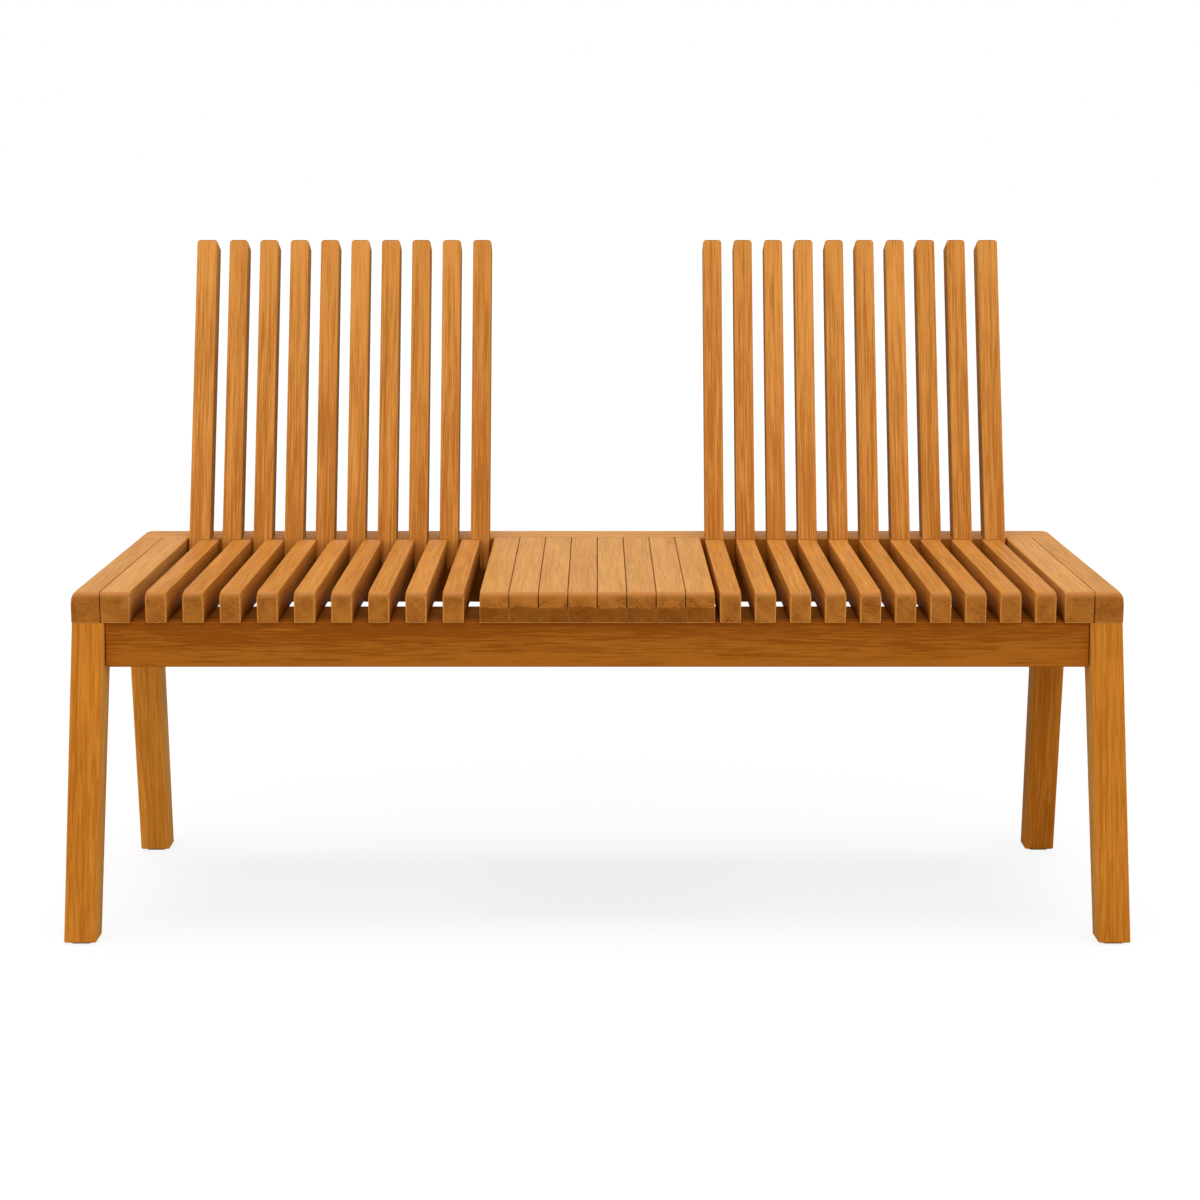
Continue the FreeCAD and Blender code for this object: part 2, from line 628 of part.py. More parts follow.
# Rails that run from front to back
def side_rail(label, side):
    body = new_body(label, f"{side} * side_rail_middle")
    side_pad(body, "rail", box_outline("front_rail_rear", "cap_rail_rear", "rail_bottom",
                                       "underside"), "side_rail_thickness")
    rear = size("cap_rail_rear")
    low = size("rail_bottom")
    soften(body, "Fillet", lambda box: in_plane(box.YMin, box.YMax, rear)
           and in_plane(box.ZMin, box.ZMax, low), "cap_rail_end_round")
    side_pad(body, "tenon", box_outline("front_rail_rear - stub_tenon_length",
                                        "front_rail_rear + tenon_thickness",
                                        "rail_tenon_bottom", "rail_tenon_top"), "tenon_thickness")
    inner_face = f"{-side} * side_rail_thickness / 2"
    outer_face = f"{side} * side_rail_thickness / 2"
    stub_depth = "2 * stub_tenon_length + 2 * mortise_end_room"
    side_cut(body, "rear_rail_mortise", widened(REAR_TENON), stub_depth, inner_face)
    side_cut(body, "bearer_mortise", widened(BEARER_TENON), stub_depth, inner_face)
    side_cut(body, "leg_housing", REAR_LEG_HOUSING, "2 * rear_leg_inset", outer_face)
    bolt_holes(body)
    return body


def cross_rail(label, side):
    body = new_body(label, f"{side} * cross_rail_middle")
    side_pad(body, "rail", box_outline("front_rail_rear", "rear_rail_front", "rail_bottom",
                                       "underside"), "cross_rail_thickness")
    side_pad(body, "front_tenon", box_outline("front_rail_rear - stub_tenon_length",
                                              "front_rail_rear + tenon_thickness",
                                              "rail_tenon_bottom", "cross_tenon_top"),
             "tenon_thickness")
    side_pad(body, "rear_tenon", box_outline("rear_rail_front - tenon_thickness",
                                             "rear_rail_front + stub_tenon_length",
                                             "rear_tenon_bottom", "rail_tenon_top"),
             "tenon_thickness")
    side_cut(body, "bearer_notch", box_outline("bearer_front - tenon_thickness",
                                               "bearer_rear + joint_clearance", "bearer_bottom",
                                               "underside + tenon_shoulder"),
             "2 * cross_rail_thickness")
    side_cut(body, "batten_mortise", widened(BATTEN_TENON),
             "2 * stub_tenon_length + 2 * mortise_end_room",
             f"{-side} * cross_rail_thickness / 2")
    return body


# Cap rail: grooved for the wide slats' tongues, with a leaning housing for each back slat
def cap_rail():
    body = new_body("rear_cap_rail")
    side_pad(body, "rail", box_outline("cap_rail_front", "cap_rail_rear", "underside",
                                       "seat_height"), "overall_width")
    front = size("cap_rail_front")
    rear = size("cap_rail_rear")
    top = size("seat_height")
    soften(body, "Fillet", lambda box: in_plane(box.YMin, box.YMax, rear)
           and box.XLength < EDGE_TOLERANCE, "cap_rail_end_round")
    soften(body, "Fillet", lambda box: in_plane(box.ZMin, box.ZMax, top)
           and box.YMax > front + EDGE_TOLERANCE, "outer_edge_round")
    cut_for_back_slats(body, "housing", BACK_HOUSING, "back_slat_width",
                       "outer_back_slat_width")
    groove = widened(tongue_outline())
    side_cut(body, "table_groove", groove, "2 * table_half_width")
    for name, side in SIDES:
        for slat in ("inner_end_slat", "outer_end_slat"):
            side_cut(body, f"{name}_{slat}_groove", groove,
                     "wide_slat_width - 2 * tongue_length + 2 * joint_clearance",
                     f"{side} * {slat}")
    return body


# Fasteners and feet
def hexagon(centre, width):
    """The six corners of a nut in side view, as pairs of formulas."""
    middle_y, middle_z = centre
    return [(f"{middle_y} + {width} / sqrt(3) * cos({turn})",
             f"{middle_z} + {width} / sqrt(3) * sin({turn})") for turn in range(0, 360, 60)]


def leg_bolts():
    """Two bolts with nuts for each rear leg: domed head outside, nut inside the side rail."""
    body = new_body("leg_bolts")
    outer = "(half_width - rear_leg_inset)"
    inner = "(side_rail_inner_face - nut_thickness)"
    for name, side in SIDES:
        shank = new_sketch(body, f"{name}_shanks", offset=f"{side} * ({outer} + {inner}) / 2")
        add_circles(shank, rear_bolt_centres(), "bolt_diameter")
        extrude(body, "Pad", shank, f"{outer} - {inner}")
        head = new_sketch(body, f"{name}_heads",
                          offset=f"{side} * ({outer} + bolt_head_thickness / 2)")
        add_circles(head, rear_bolt_centres(), "bolt_head_diameter")
        extrude(body, "Pad", head, "bolt_head_thickness")
        nut = new_sketch(body, f"{name}_nuts", offset=f"{side} * ({inner} + nut_thickness / 2)")
        for centre in rear_bolt_centres():
            add_outline(nut, hexagon(centre, "nut_width"))
        extrude(body, "Pad", nut, "nut_thickness")
    return body


def floor_glides():
    body = new_body("floor_glides")
    sketch = new_sketch(body, "pads", "XY_Plane")
    for _, side in SIDES:
        for middle, front in (("(front_leg_middle + front_foot_outward)", "-front_foot_forward"),
                              ("rear_leg_middle", "rear_foot_front")):
            left = f"{side} * {middle} - leg_width / 2 + glide_inset"
            right = f"{side} * {middle} + leg_width / 2 - glide_inset"
            near = f"{front} + glide_inset"
            far = f"{front} + leg_foot_depth - glide_inset"
            add_outline(sketch, [(left, near), (right, near), (right, far), (left, far)])
    extrude(body, "Pad", sketch, "glide_thickness", both_ways=False)
    return body


LEG_STUB = box_outline("front_leg_setback + tenon_shoulder",
                       "front_leg_setback + front_leg_top_depth - tenon_shoulder",
                       "rail_tenon_top", "underside + stub_tenon_length")
FRONT_TENON = box_outline("front_tenon_front", "front_tenon_front + tenon_thickness",
                          "rail_tenon_bottom", "rail_tenon_top")
REAR_TENON = box_outline("rear_tenon_front", "rear_tenon_front + 2 * tenon_thickness",
                         "rear_tenon_bottom", "rail_tenon_top")
BEARER_TENON = box_outline("bearer_tenon_front", "bearer_tenon_front + tenon_thickness",
                           "bearer_tenon_bottom", "bearer_tenon_top")
BATTEN_TENON = box_outline("batten_tenon_front", "batten_tenon_front + tenon_thickness",
                           "bearer_tenon_bottom", "bearer_tenon_top")
REAR_LEG_HOUSING = [("rear_leg_top + rear_slope * leg_stretch - joint_clearance",
                     "underside - leg_stretch"),
                    ("rear_leg_top + rear_leg_top_depth + rear_back_slope * leg_stretch"
                     " + joint_clearance", "underside - leg_stretch"),
                    ("rear_leg_top + rear_leg_top_depth - rear_back_slope * leg_stretch"
                     " + joint_clearance", "underside + leg_stretch"),
                    ("rear_leg_top - rear_slope * leg_stretch - joint_clearance",
                     "underside + leg_stretch")]
BACK_HOUSING = [("back_foot - slat_height * lean - cap_rail_depth",
                 "underside - slat_height"),
                ("back_foot - slat_height * lean + back_foot_depth + joint_clearance",
                 "underside - slat_height"),
                ("slat_length + slat_height * lean + back_foot_depth + joint_clearance",
                 "seat_height + slat_height"),
                ("slat_length + slat_height * lean - cap_rail_depth",
                 "seat_height + slat_height")]


def build_bench():
    """Every sub-part of the bench, in the order in which it would be put together."""
    pieces = []
    for name, side in SIDES:
        pieces.append(front_leg(f"front_{name}_leg", side))
        pieces.append(rear_leg(f"rear_{name}_leg", side))
        pieces.append(side_rail(f"{name}_side_rail", side))
        pieces.append(cross_rail(f"{name}_cross_rail", side))
        pieces.append(end_slat(f"{name}_outer_end_slat", f"{side} * outer_end_slat", side))
        pieces.append(end_slat(f"{name}_inner_end_slat", f"{side} * inner_end_slat", 0))
        for number, middle in enumerate(seat_slat_centres(name), start=1):
            pieces.append(seat_slat(f"{name}_seat_slat_{number:02d}", middle))
        for number, (middle, width) in enumerate(back_slat_places(side), start=1):
            pieces.append(back_slat(f"{name}_back_slat_{number:02d}", middle, width))
    pieces += [front_rail(), rear_rail(), front_bearer(), table_batten(), cap_rail(),
               table_slats()]
    pieces += [leg_bolts(), floor_glides()]
    return pieces


def check_document(pieces):
    """Stop if any feature failed or any sub-part has no valid solid."""
    document.recompute()
    faults = [item.Name for item in document.Objects
              if "Invalid" in item.State or "Error" in item.State]
    for piece in pieces:
        if piece.Shape.isNull() or not piece.Shape.isValid() or not piece.Shape.Solids:
            faults.append(piece.Label)
    if faults:
        raise RuntimeError("failed: " + ", ".join(faults))


bench = build_bench()
check_document(bench)
os.makedirs("parts", exist_ok=True)
for piece in bench:
    piece.Shape.exportStep(f"parts/{piece.Label}.step")
    print(piece.Label, len(piece.Shape.Solids), round(piece.Shape.Volume / 1000), "cm3")
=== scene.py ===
import math

import bmesh
import bpy
import numpy as np
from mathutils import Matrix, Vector


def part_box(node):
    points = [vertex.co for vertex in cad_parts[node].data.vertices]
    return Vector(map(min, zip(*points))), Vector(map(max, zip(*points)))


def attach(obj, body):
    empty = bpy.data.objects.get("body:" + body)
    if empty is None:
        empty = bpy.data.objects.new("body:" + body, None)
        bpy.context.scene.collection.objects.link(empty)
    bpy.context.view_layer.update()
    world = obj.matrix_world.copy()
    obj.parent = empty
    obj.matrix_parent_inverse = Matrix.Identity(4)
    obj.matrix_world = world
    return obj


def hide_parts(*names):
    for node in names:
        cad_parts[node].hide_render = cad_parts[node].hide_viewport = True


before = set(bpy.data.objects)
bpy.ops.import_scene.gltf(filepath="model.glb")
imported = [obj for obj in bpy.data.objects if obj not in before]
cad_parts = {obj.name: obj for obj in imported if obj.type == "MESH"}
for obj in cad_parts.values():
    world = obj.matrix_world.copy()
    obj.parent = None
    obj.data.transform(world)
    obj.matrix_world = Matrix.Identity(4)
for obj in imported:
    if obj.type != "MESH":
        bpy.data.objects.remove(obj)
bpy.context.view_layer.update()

# The bench's looks: oiled teak boards, each with its own grain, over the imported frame.
# Metres, +Z up, front towards -Y. Every piece is a mesh with its place in its points.

MM = 0.001
X, Y, Z = np.eye(3)
RECLINE = math.radians(21)
LEAN = np.array([0.0, math.sin(RECLINE), math.cos(RECLINE)])
SIDES = (("left", -1), ("right", 1))
draws = np.random.default_rng(11)

# Boards of the seats, the table and the backs
SEAT_SLATS = {"left": 9, "right": 10}
BACK_SLATS_PER_SEAT = 10
TABLE_SLATS = 8
WIDE_SLAT_WIDTH = 36.7 * MM
WIDE_SLAT_PITCH = 37.5 * MM
BACK_SLAT_DEPTH = 39 * MM
SLAT_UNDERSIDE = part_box("table_slats")[0].z
TABLE_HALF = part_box("table_slats")[1].x
SEAT_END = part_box("right_inner_end_slat")[0].x
CAP_LOW, CAP_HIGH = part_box("rear_cap_rail")

# Roundings: of the seat's front ends, of edges along the boards, and of the backs' crowns
NOSE_ROUND = 6.5 * MM
NOSE_SIDE_ROUND = 2.4 * MM
NOSE_CORNER_ROUND = 3.2 * MM
NOSE_CORNER_RUN = 20 * MM
END_ROUND = 1.3 * MM
SLAT_ROUND = 2.2 * MM
LOWER_ROUND = 1.4 * MM
JOINT_ROUND = 0.6 * MM
OUTER_ROUND = 8 * MM
CROWN_ROUND = 5 * MM
CROWN_EASE = 2.5 * MM
RAIL_ROUND = 2 * MM
FLAT_RIM = 0.3 * MM     # a ring of points this near a flat end keeps the shading straight

# Legs and their pads
LEG_WIDTH = 41 * MM
LEG_TOP_DEPTH = 58 * MM
LEG_FOOT_DEPTH = 44 * MM
LEG_ROUND = 3.2 * MM
FRONT_LEG_SETBACK = 1 * MM
RAIL_JOINT = 1.4 * MM
PAD_BEVEL = 1 * MM
PAD_INSETS = (8 * MM, 7 * MM, 4.5 * MM)

# Oiled teak by use, at a light level of one; some of these colours are painted light or shade, as
# marked, and the last two tint the sides that face across with painted shade on the backs and
# painted light on the legs
SEAT_TEAK = (0.638, 0.248, 0.041)
BACK_TEAK = (0.62, 0.240, 0.045)
TABLE_TEAK = (0.67, 0.298, 0.064)
LEG_TEAK = (0.60, 0.205, 0.021)
RAIL_TEAK = (0.37, 0.108, 0.009)
# painted shade: a dark tone for the rails under the seats and table, where little light reaches
SHADED_UNDER_TEAK = (0.19, 0.054, 0.003)
END_GRAIN = (0.395, 0.130, 0.017)
# painted sheen: a lighter, greyer colour for the rounding over the boards' front ends
NOSE_SHEEN_TEAK = (0.57, 0.228, 0.056)
# painted shade: the lower part of the sides that face the gaps between boards
GAP_SHADE_TEAK = (0.13, 0.038, 0.002)
# painted shade: the front face of the rail behind the seats
FRONT_SHADE_TEAK = (0.46, 0.130, 0.008)
SEAM = (0.04, 0.015, 0.002)
# painted shade on the back slats' sides that face across
BACK_SIDE_SHADE = (0.84, 1.0, 0.9)
# painted light on the legs' sides that face across
LEG_SIDE_LIGHT = (1.4, 1.75, 2.8)


class Reading:
    """One output of a tree's nodes that can be used in arithmetic."""

    def __init__(self, finish, socket):
        self.finish = finish
        self.socket = socket

    def maths(self, operation, *values):
        return self.finish.node("Math", {"operation": operation}, dict(enumerate(values)))

    def __add__(self, other):
        return self.maths("ADD", self, other)

    def __sub__(self, other):
        return self.maths("SUBTRACT", self, other)

    def __rsub__(self, other):
        return self.maths("SUBTRACT", other, self)

    def __mul__(self, other):
        return self.maths("MULTIPLY", self, other)

    def __truediv__(self, other):
        return self.maths("DIVIDE", self, other)

    def __abs__(self):
        return self.maths("ABSOLUTE", self)

    def __mod__(self, other):
        return self.maths("FLOORED_MODULO", self, other)

    def or_more(self, other):
        return self.maths("MAXIMUM", self, other)

    __radd__ = __add__
    __rmul__ = __mul__


class Finish:
    """The node tree of a material or world: node() adds one node and gives one of its outputs."""

    def __init__(self, owner):
        owner.use_nodes = True
        self.owner = owner
        self.tree = owner.node_tree
        self.tree.nodes.clear()

    def node(self, kind, settings=None, inputs=None, output=0):
        made = self.tree.nodes.new("ShaderNode" + kind)
        for key, value in (settings or {}).items():
            setattr(made, key, value)
        for key, value in (inputs or {}).items():
            if isinstance(value, Reading):
                self.tree.links.new(value.socket, made.inputs[key])
            else:
                made.inputs[key].default_value = value
        return Reading(self, made.outputs[output]) if made.outputs else made

    def vector(self, operation, *values, output=0):
        return self.node("VectorMath", {"operation": operation}, dict(enumerate(values)), output)

    def along(self, place, axis):
        """How far a place or direction reaches along an axis."""
        return self.vector("DOT_PRODUCT", place, tuple(axis), output="Value")

    def noise(self, place, scale, detail=2.0, roughness=0.5, output="Fac"):
        return self.node("TexNoise", {}, {"Vector": place, "Scale": scale, "Detail": detail,
                                          "Roughness": roughness}, output)

    def step(self, value, low, high):
        """0 below low, 1 above high and a smooth rise between them."""
        return self.node("MapRange", {"interpolation_type": "SMOOTHSTEP"},
                         {"Value": value, "From Min": low, "From Max": high}, "Result")

    def mix(self, share, first, second):
        """Colours first and second, mixed by the share."""
        return self.node("Mix", {"data_type": "RGBA"}, {0: share, 6: first, 7: second}, 2)

    def principled(self, inputs):
        self.node("OutputMaterial", {}, {"Surface": self.node("BsdfPrincipled", {}, inputs)})
        return self.owner


def opaque(colour):
    return (*colour, 1.0)


def tinted(base, tone):
    """A teak colour darkened or lightened: as wood takes more oil its blue goes first."""
    return opaque(part * tone ** power for part, power in zip(base, (1.0, 1.4, 2.2)))


class Board:
    """One board of teak, read at any point: where that lies, how it faces and its figure.

    across and along are unit vectors of the board's width and of its grain, and through is the
    third. A point's ring is its distance from the pith divided by the ring width in mm. The
    pith runs along the grain beside the board's middle and wavers, so the ends show arcs of
    the lines that run along the faces. run shortens the streaks and fibres.
    """

    def __init__(self, name, middle, across, along, ring, run):
        self.finish = finish = Finish(bpy.data.materials.new(name))
        axes = (across, np.cross(along, across), along)
        bearing, reach = draws.uniform(0.1, 0.9) * math.pi, draws.uniform(0.08, 0.25)
        pith = (reach * math.cos(bearing), reach * math.sin(bearing), 0.0)
        offset = finish.vector("SUBTRACT", finish.node("TexCoord", output="Object"), tuple(middle))
        parts = [finish.along(offset, axis) for axis in axes]
        self.across, self.through, self.along = parts
        place = finish.node("CombineXYZ", {}, dict(enumerate(parts)))
        seeded = finish.vector("ADD", place, tuple(draws.uniform(-40, 40, 3)))

        def drawn_out(spots, share):
            """Places scaled down along the grain, so that spots become streaks."""
            return finish.vector("MULTIPLY", spots, (1.0, 1.0, share))

        waver = finish.noise(drawn_out(seeded, 0.3), 9.0, 2.0, 0.4, "Color")
        waver = finish.vector("SUBTRACT", waver, (0.5, 0.5, 0.5))
        grown = finish.vector("MULTIPLY_ADD", waver, (0.014, 0.014, 0.0), place)
        lines = finish.vector("MULTIPLY_ADD", waver, (0.020, 0.020, 0.0), seeded)
        from_pith = finish.vector("MULTIPLY", finish.vector("SUBTRACT", grown, pith),
                                  (1.0, 1.0, 0.0))
        radius = finish.vector("LENGTH", from_pith, output="Value")
        swell = finish.noise(drawn_out(lines, 0.04), 60.0)
        rings = (radius / (ring * MM) + 1.6 * swell) % 1.0
        self.late = finish.step(rings, 0.2, 0.85) * (1 - finish.step(rings, 0.88, 1.0))
        self.cloud = finish.noise(drawn_out(lines, 0.12), 45.0)
        self.streak = finish.noise(drawn_out(lines, run), 250.0, 3.0, 0.6)
        self.fibre = finish.noise(drawn_out(seeded, run), 750.0, 3.0, 0.7)
        self.pore = finish.step(finish.noise(drawn_out(seeded, 0.05), 1500.0, 1.0), 0.62, 0.74)
        uneven = 8 * MM * (finish.noise(drawn_out(seeded, 0.1), 40.0, 1.0) - 0.5)
        self.lower_half = finish.step(uneven + self.through, -0.4 * MM, 1.2 * MM)

        normal = finish.node("TexCoord", output="Normal")
        faces = [abs(finish.along(normal, axis)) for axis in axes]
        self.upward = finish.along(normal, Z)
        self.sideways = faces[0]
        self.flank = finish.step(self.sideways, 0.6, 0.95)
        self.end = finish.step(faces[2], 0.16, 0.45)
        self.arris = finish.step(faces[0].or_more(faces[1]).or_more(faces[2]), 0.990, 0.90)

    def marked(self, cloud, streak, fibre, late):
        """The wood's dark and light about 0, with a weight for each part of its figure."""
        return (cloud * (self.cloud - 0.5) + streak * (self.streak - 0.5)
                + fibre * (self.fibre - 0.5) + late * (self.late - 0.35))

    def toned(self, shade, low, high, base, light, dark):
        """The base colour from a light tone to a dark one, as the shade rises."""
        return self.finish.mix(self.finish.step(shade, low, high), tinted(base, light),
                               tinted(base, dark))

    def on_side(self, which):
        """1 on the side of the middle that which names as -1 or 1, or all over for 2."""
        return self.finish.step(which * self.across, 0.0, MM) if abs(which) == 1 else which / 2


def painted_gap_shade(board, colour, shaded):
    """Painted shade on sides that face a gap: darker downwards, the more the further back."""
    depth = board.finish.step(board.through + 0.03 * board.along, -16 * MM, 22 * MM)
    share = 0.85 * depth * board.on_side(shaded) * board.flank
    return board.finish.mix(share, colour, opaque(GAP_SHADE_TEAK))


def front_highlight_and_shade(board, colour, edge, front):
    """The front edge of the board behind the backs, at the place front across it.

    Between the seat slats its rim is lightened with a painted highlight; all along it, the face
    below the rim is darkened with painted shade, and where the table boards meet it there is
    only a dark joint.
    """
    finish, out = board.finish, abs(board.along)
    near = 1 - finish.step(board.across, front + 1.5 * MM, front + 2.3 * MM)
    rim = near * finish.step(board.through, 16.8 * MM, 17.8 * MM)
    seat = finish.step(out, TABLE_HALF, TABLE_HALF + MM) * (
        1 - finish.step(out, SEAT_END + MM, SEAT_END + 2 * MM))
    table = 1 - finish.step(out, TABLE_HALF - MM, TABLE_HALF)
    colour = finish.mix(0.8 * rim * seat, colour, edge)
    colour = finish.mix(0.8 * (near - rim), colour, opaque(FRONT_SHADE_TEAK))
    return finish.mix(0.8 * near * table, colour, opaque(SEAM))


def end_faces(board, tone, edge, nose, lower_band):
    """End grain: a painted lighter, greyer sheen over the nose in its upper 10 mm, a quieter
    lower half and painted highlights along the lower edges.
    """
    finish = board.finish
    shade = board.marked(cloud=1.4, streak=1.0, fibre=1.7, late=0.13)
    if lower_band:
        shade = shade * (1.5 - 0.9 * board.lower_half) + lower_band * board.lower_half
    colour = board.toned(0.42 + shade, -0.2, 1.5, END_GRAIN, 1.3 * tone, 0.5 * tone)
    # painted sheen over the upper 10 mm of the ends
    if nose:
        nose_sheen = 1 - finish.step(board.through, -20.5 * MM, -9.5 * MM)
        nose_sheen = nose * nose_sheen * (1.0 + 1.8 * (board.fibre - 0.5))
        colour = finish.mix(nose_sheen, colour, opaque(NOSE_SHEEN_TEAK))
    # painted highlight along the ends' lower edges
    below = 1 - finish.step(board.upward, 0.1, 0.3)
    return finish.mix(0.8 * board.arris * below, colour, edge)


def teak(name, middle, across, along, base, tone=1.0, ring=4.5, figure=1.0, run=0.018,
         sheen=0.0, nose=0.0, ends=1.0, seams=0, shaded=0, flank=None, lower_band=0.0, fade=0.0,
         foot_shade=0.0, top_shadow=0.0, front=0.0):
    """Oiled teak for one board, with painted highlights on its arrises, and its end grain.

    Board names the place, axes, ring and run. figure scales the contrast of the long faces.
    sheen is the polish of what faces up, nose the strength of a painted lighter, greyer sheen
    over the ends' rounding and ends the tone of the end grain. seams and shaded name sides
    across the board, as -1, 1 or 2 for both: dark edges where it meets another board, and sides
    with painted shade that darkens into a gap. flank tints the sides that face across with
    painted light or shade. lower_band darkens the ends' lower half, fade darkens the faces by
    that much for each metre across, droop lightens them for each metre along, so that painted
    shade deepens down the backs, and crest darkens the last millimetres of their upper edge as
    a painted shadow. front is where the painted highlight and shade of the front edge of the
    rail behind the seats lie across it.
    """
    board = Board(name, middle, across, along, ring, run)
    finish = board.finish
    marks = board.marked(cloud=0.9, streak=1.2, fibre=2.2, late=0.10) + 0.12 * board.pore
    shade = 0.5 + figure * marks
    if fade:
        shade = shade + fade * board.across
    # painted shade, deeper towards the lower end of the backs
    if foot_shade:
        shade = shade - foot_shade * board.along
    # painted shadow along the upper edge, under the overhanging slats
    if top_shadow:
        shade = shade + top_shadow * finish.step(board.across, 22 * MM, 28.5 * MM)
    side = board.toned(shade, -0.15, 1.15, base, 1.22 * tone, 0.78 * tone)
    # painted shade down into the gaps
    if shaded:
        side = painted_gap_shade(board, side, shaded)
    # painted light or shade on the sides that face across
    if flank:
        side = finish.mix(board.flank, side, finish.vector("MULTIPLY", side, flank))
    # the arrises are lightened as a painted highlight, with dark seams where boards meet
    edge = tinted(base, 1.2 * tone)
    if seams:
        joined = board.on_side(seams) * finish.step(board.sideways, 0.2, 0.5)
        if lower_band:
            joined = joined * (1 - 0.75 * board.lower_half)
        edge = finish.mix(joined, edge, opaque(SEAM))
    side = finish.mix(0.6 * board.arris, side, edge)
    # painted highlight and painted shade along the front of the rail behind the seats
    if front:
        side = front_highlight_and_shade(board, side, edge, front)
    end_colour = end_faces(board, ends * (0.5 + 0.5 * tone), edge, nose, lower_band)
    rough = 0.42 + 0.14 * board.fibre + 0.10 * board.late + 0.14 * board.end
    height = 0.6 * board.fibre + 0.2 * board.late + 0.3 * board.streak - 0.6 * board.pore
    bump = finish.node("Bump", {}, {"Strength": 0.3, "Distance": 0.3 * MM, "Height": height})
    inputs = {"Base Color": finish.mix(board.end, side, end_colour), "Roughness": rough,
              "Normal": bump, "Specular IOR Level": 0.01}
    if sheen:
        inputs |= {"Coat Weight": sheen * finish.step(board.upward, 0.1, 0.8),
                   "Coat Roughness": 0.4}
    return finish.principled(inputs)


def plain(name, base, rough, metal=0.0):
    """One even colour with fine scratches."""
    finish = Finish(bpy.data.materials.new(name))
    scratch = finish.noise(finish.node("TexCoord", output="Object"), 900.0)
    shade = finish.mix(scratch, opaque(0.8 * part for part in base), opaque(base))
    bump = finish.node("Bump", {}, {"Strength": 0.2, "Distance": 0.1 * MM, "Height": scratch})
    return finish.principled({"Base Color": shade, "Roughness": rough + 0.15 * scratch,
                              "Metallic": metal, "Normal": bump})


def rounded_section(width, height, radii, steps=5):
    """A rectangle about its middle with four round corners, as points counter-clockwise.

    Each corner is its centre plus the radius times (cos a, sin a), with a running over its own
    quarter turn: lower left, lower right, upper right, upper left.
    """
    places = np.array([(-1, -1), (1, -1), (1, 1), (-1, 1)], float)
    radii = np.asarray(radii, float)
    corners = places * (np.array([width, height]) / 2 - radii[:, None])
    quarter = np.linspace(0, math.pi / 2, steps + 1)
    angles = math.pi + quarter[None, :] + (math.pi / 2) * np.arange(4)[:, None]
    arcs = np.stack([np.cos(angles), np.sin(angles)], axis=-1) * radii[:, None, None]
    return (corners[:, None, :] + arcs).reshape(-1, 2)


def fall_of(radius, distance):
    """How far a rounded edge has fallen at a distance in from the end: r - sqrt(r^2 - (r-d)^2)."""
    left = np.clip(radius - distance, 0, radius)
    return radius - np.sqrt(radius ** 2 - left ** 2)


def round_stations(radius, steps=9):
    """Distances in from an end, closest together where its rounding falls fastest."""
    return radius * (1 - np.cos(np.linspace(0, math.pi / 2, steps)))


def add_piece(mesh, material, node):
    """The mesh as a piece that stands in for the node and rides with the bench."""
    mesh.materials.append(material)
    piece = bpy.data.objects.new(mesh.name, mesh)
    bpy.context.scene.collection.objects.link(piece)
    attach(piece, "root")
    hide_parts(node)


def skin(name, rings, material, node):
    """A closed skin over stations of equal count: faces between neighbours and over both ends.

    rings[i, j] is point j of station i. The two end faces stay flat.
    """
    stations, around = rings.shape[:2]
    index = np.arange(stations * around).reshape(stations, around)
    here, after = index[:-1], index[1:]
    quads = np.stack([here, np.roll(here, -1, 1), np.roll(after, -1, 1), after], axis=-1)
    faces = quads.reshape(-1, 4).tolist() + [index[0][::-1].tolist(), index[-1].tolist()]
    mesh = bpy.data.meshes.new(name)
    mesh.from_pydata(rings.reshape(-1, 3).tolist(), [], faces)
    smooth = np.ones(len(faces), bool)
    smooth[-2:] = False
    mesh.polygons.foreach_set("use_smooth", smooth)
    add_piece(mesh, material, node)


def nosed_board(name, node, material, radii, rear, width=0, centre=None, rear_lean=0.0,
                side_round=JOINT_ROUND):
    """A slat of the seat: a rounded section carried back from the front end to the rear.

    At y behind the front its top has fallen by fall_of(nose round, y), its underside has drawn
    in by fall_of(end round, y) and its sides by fall_of(side round, y). Towards the front its
    free upper corners grow rounder. The rear end leans by rear_lean.
    """
    low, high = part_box(node)
    centre = (low.x + high.x) / 2 if centre is None else centre
    width = width or high.x - low.x
    length, height = rear - low.y, high.z - low.z
    last = length - height * rear_lean
    runs = np.concatenate([round_stations(NOSE_ROUND), [0.6 * NOSE_CORNER_RUN, NOSE_CORNER_RUN],
                           np.linspace(0.1, 0.9, 5) * length, [last - FLAT_RIM, last]])
    free = np.array([0, 0, 1, 1]) * (np.asarray(radii) > JOINT_ROUND)
    rings = []
    for run in runs:
        top = high.z - fall_of(NOSE_ROUND, run)
        bottom = low.z + fall_of(END_ROUND, run)
        corners = radii + free * NOSE_CORNER_ROUND * max(0.0, 1 - run / NOSE_CORNER_RUN)
        flat = rounded_section(width - 2 * fall_of(side_round, run), top - bottom, corners)
        rings.append(np.column_stack([centre + flat[:, 0], np.full(len(flat), low.y + run),
                                      (top + bottom) / 2 + flat[:, 1]]))
    rings = np.array(rings)
    rings[-1, :, 1] += (rings[-1, :, 2] - low.z) * rear_lean
    skin(name, rings[:, ::-1], material, node)


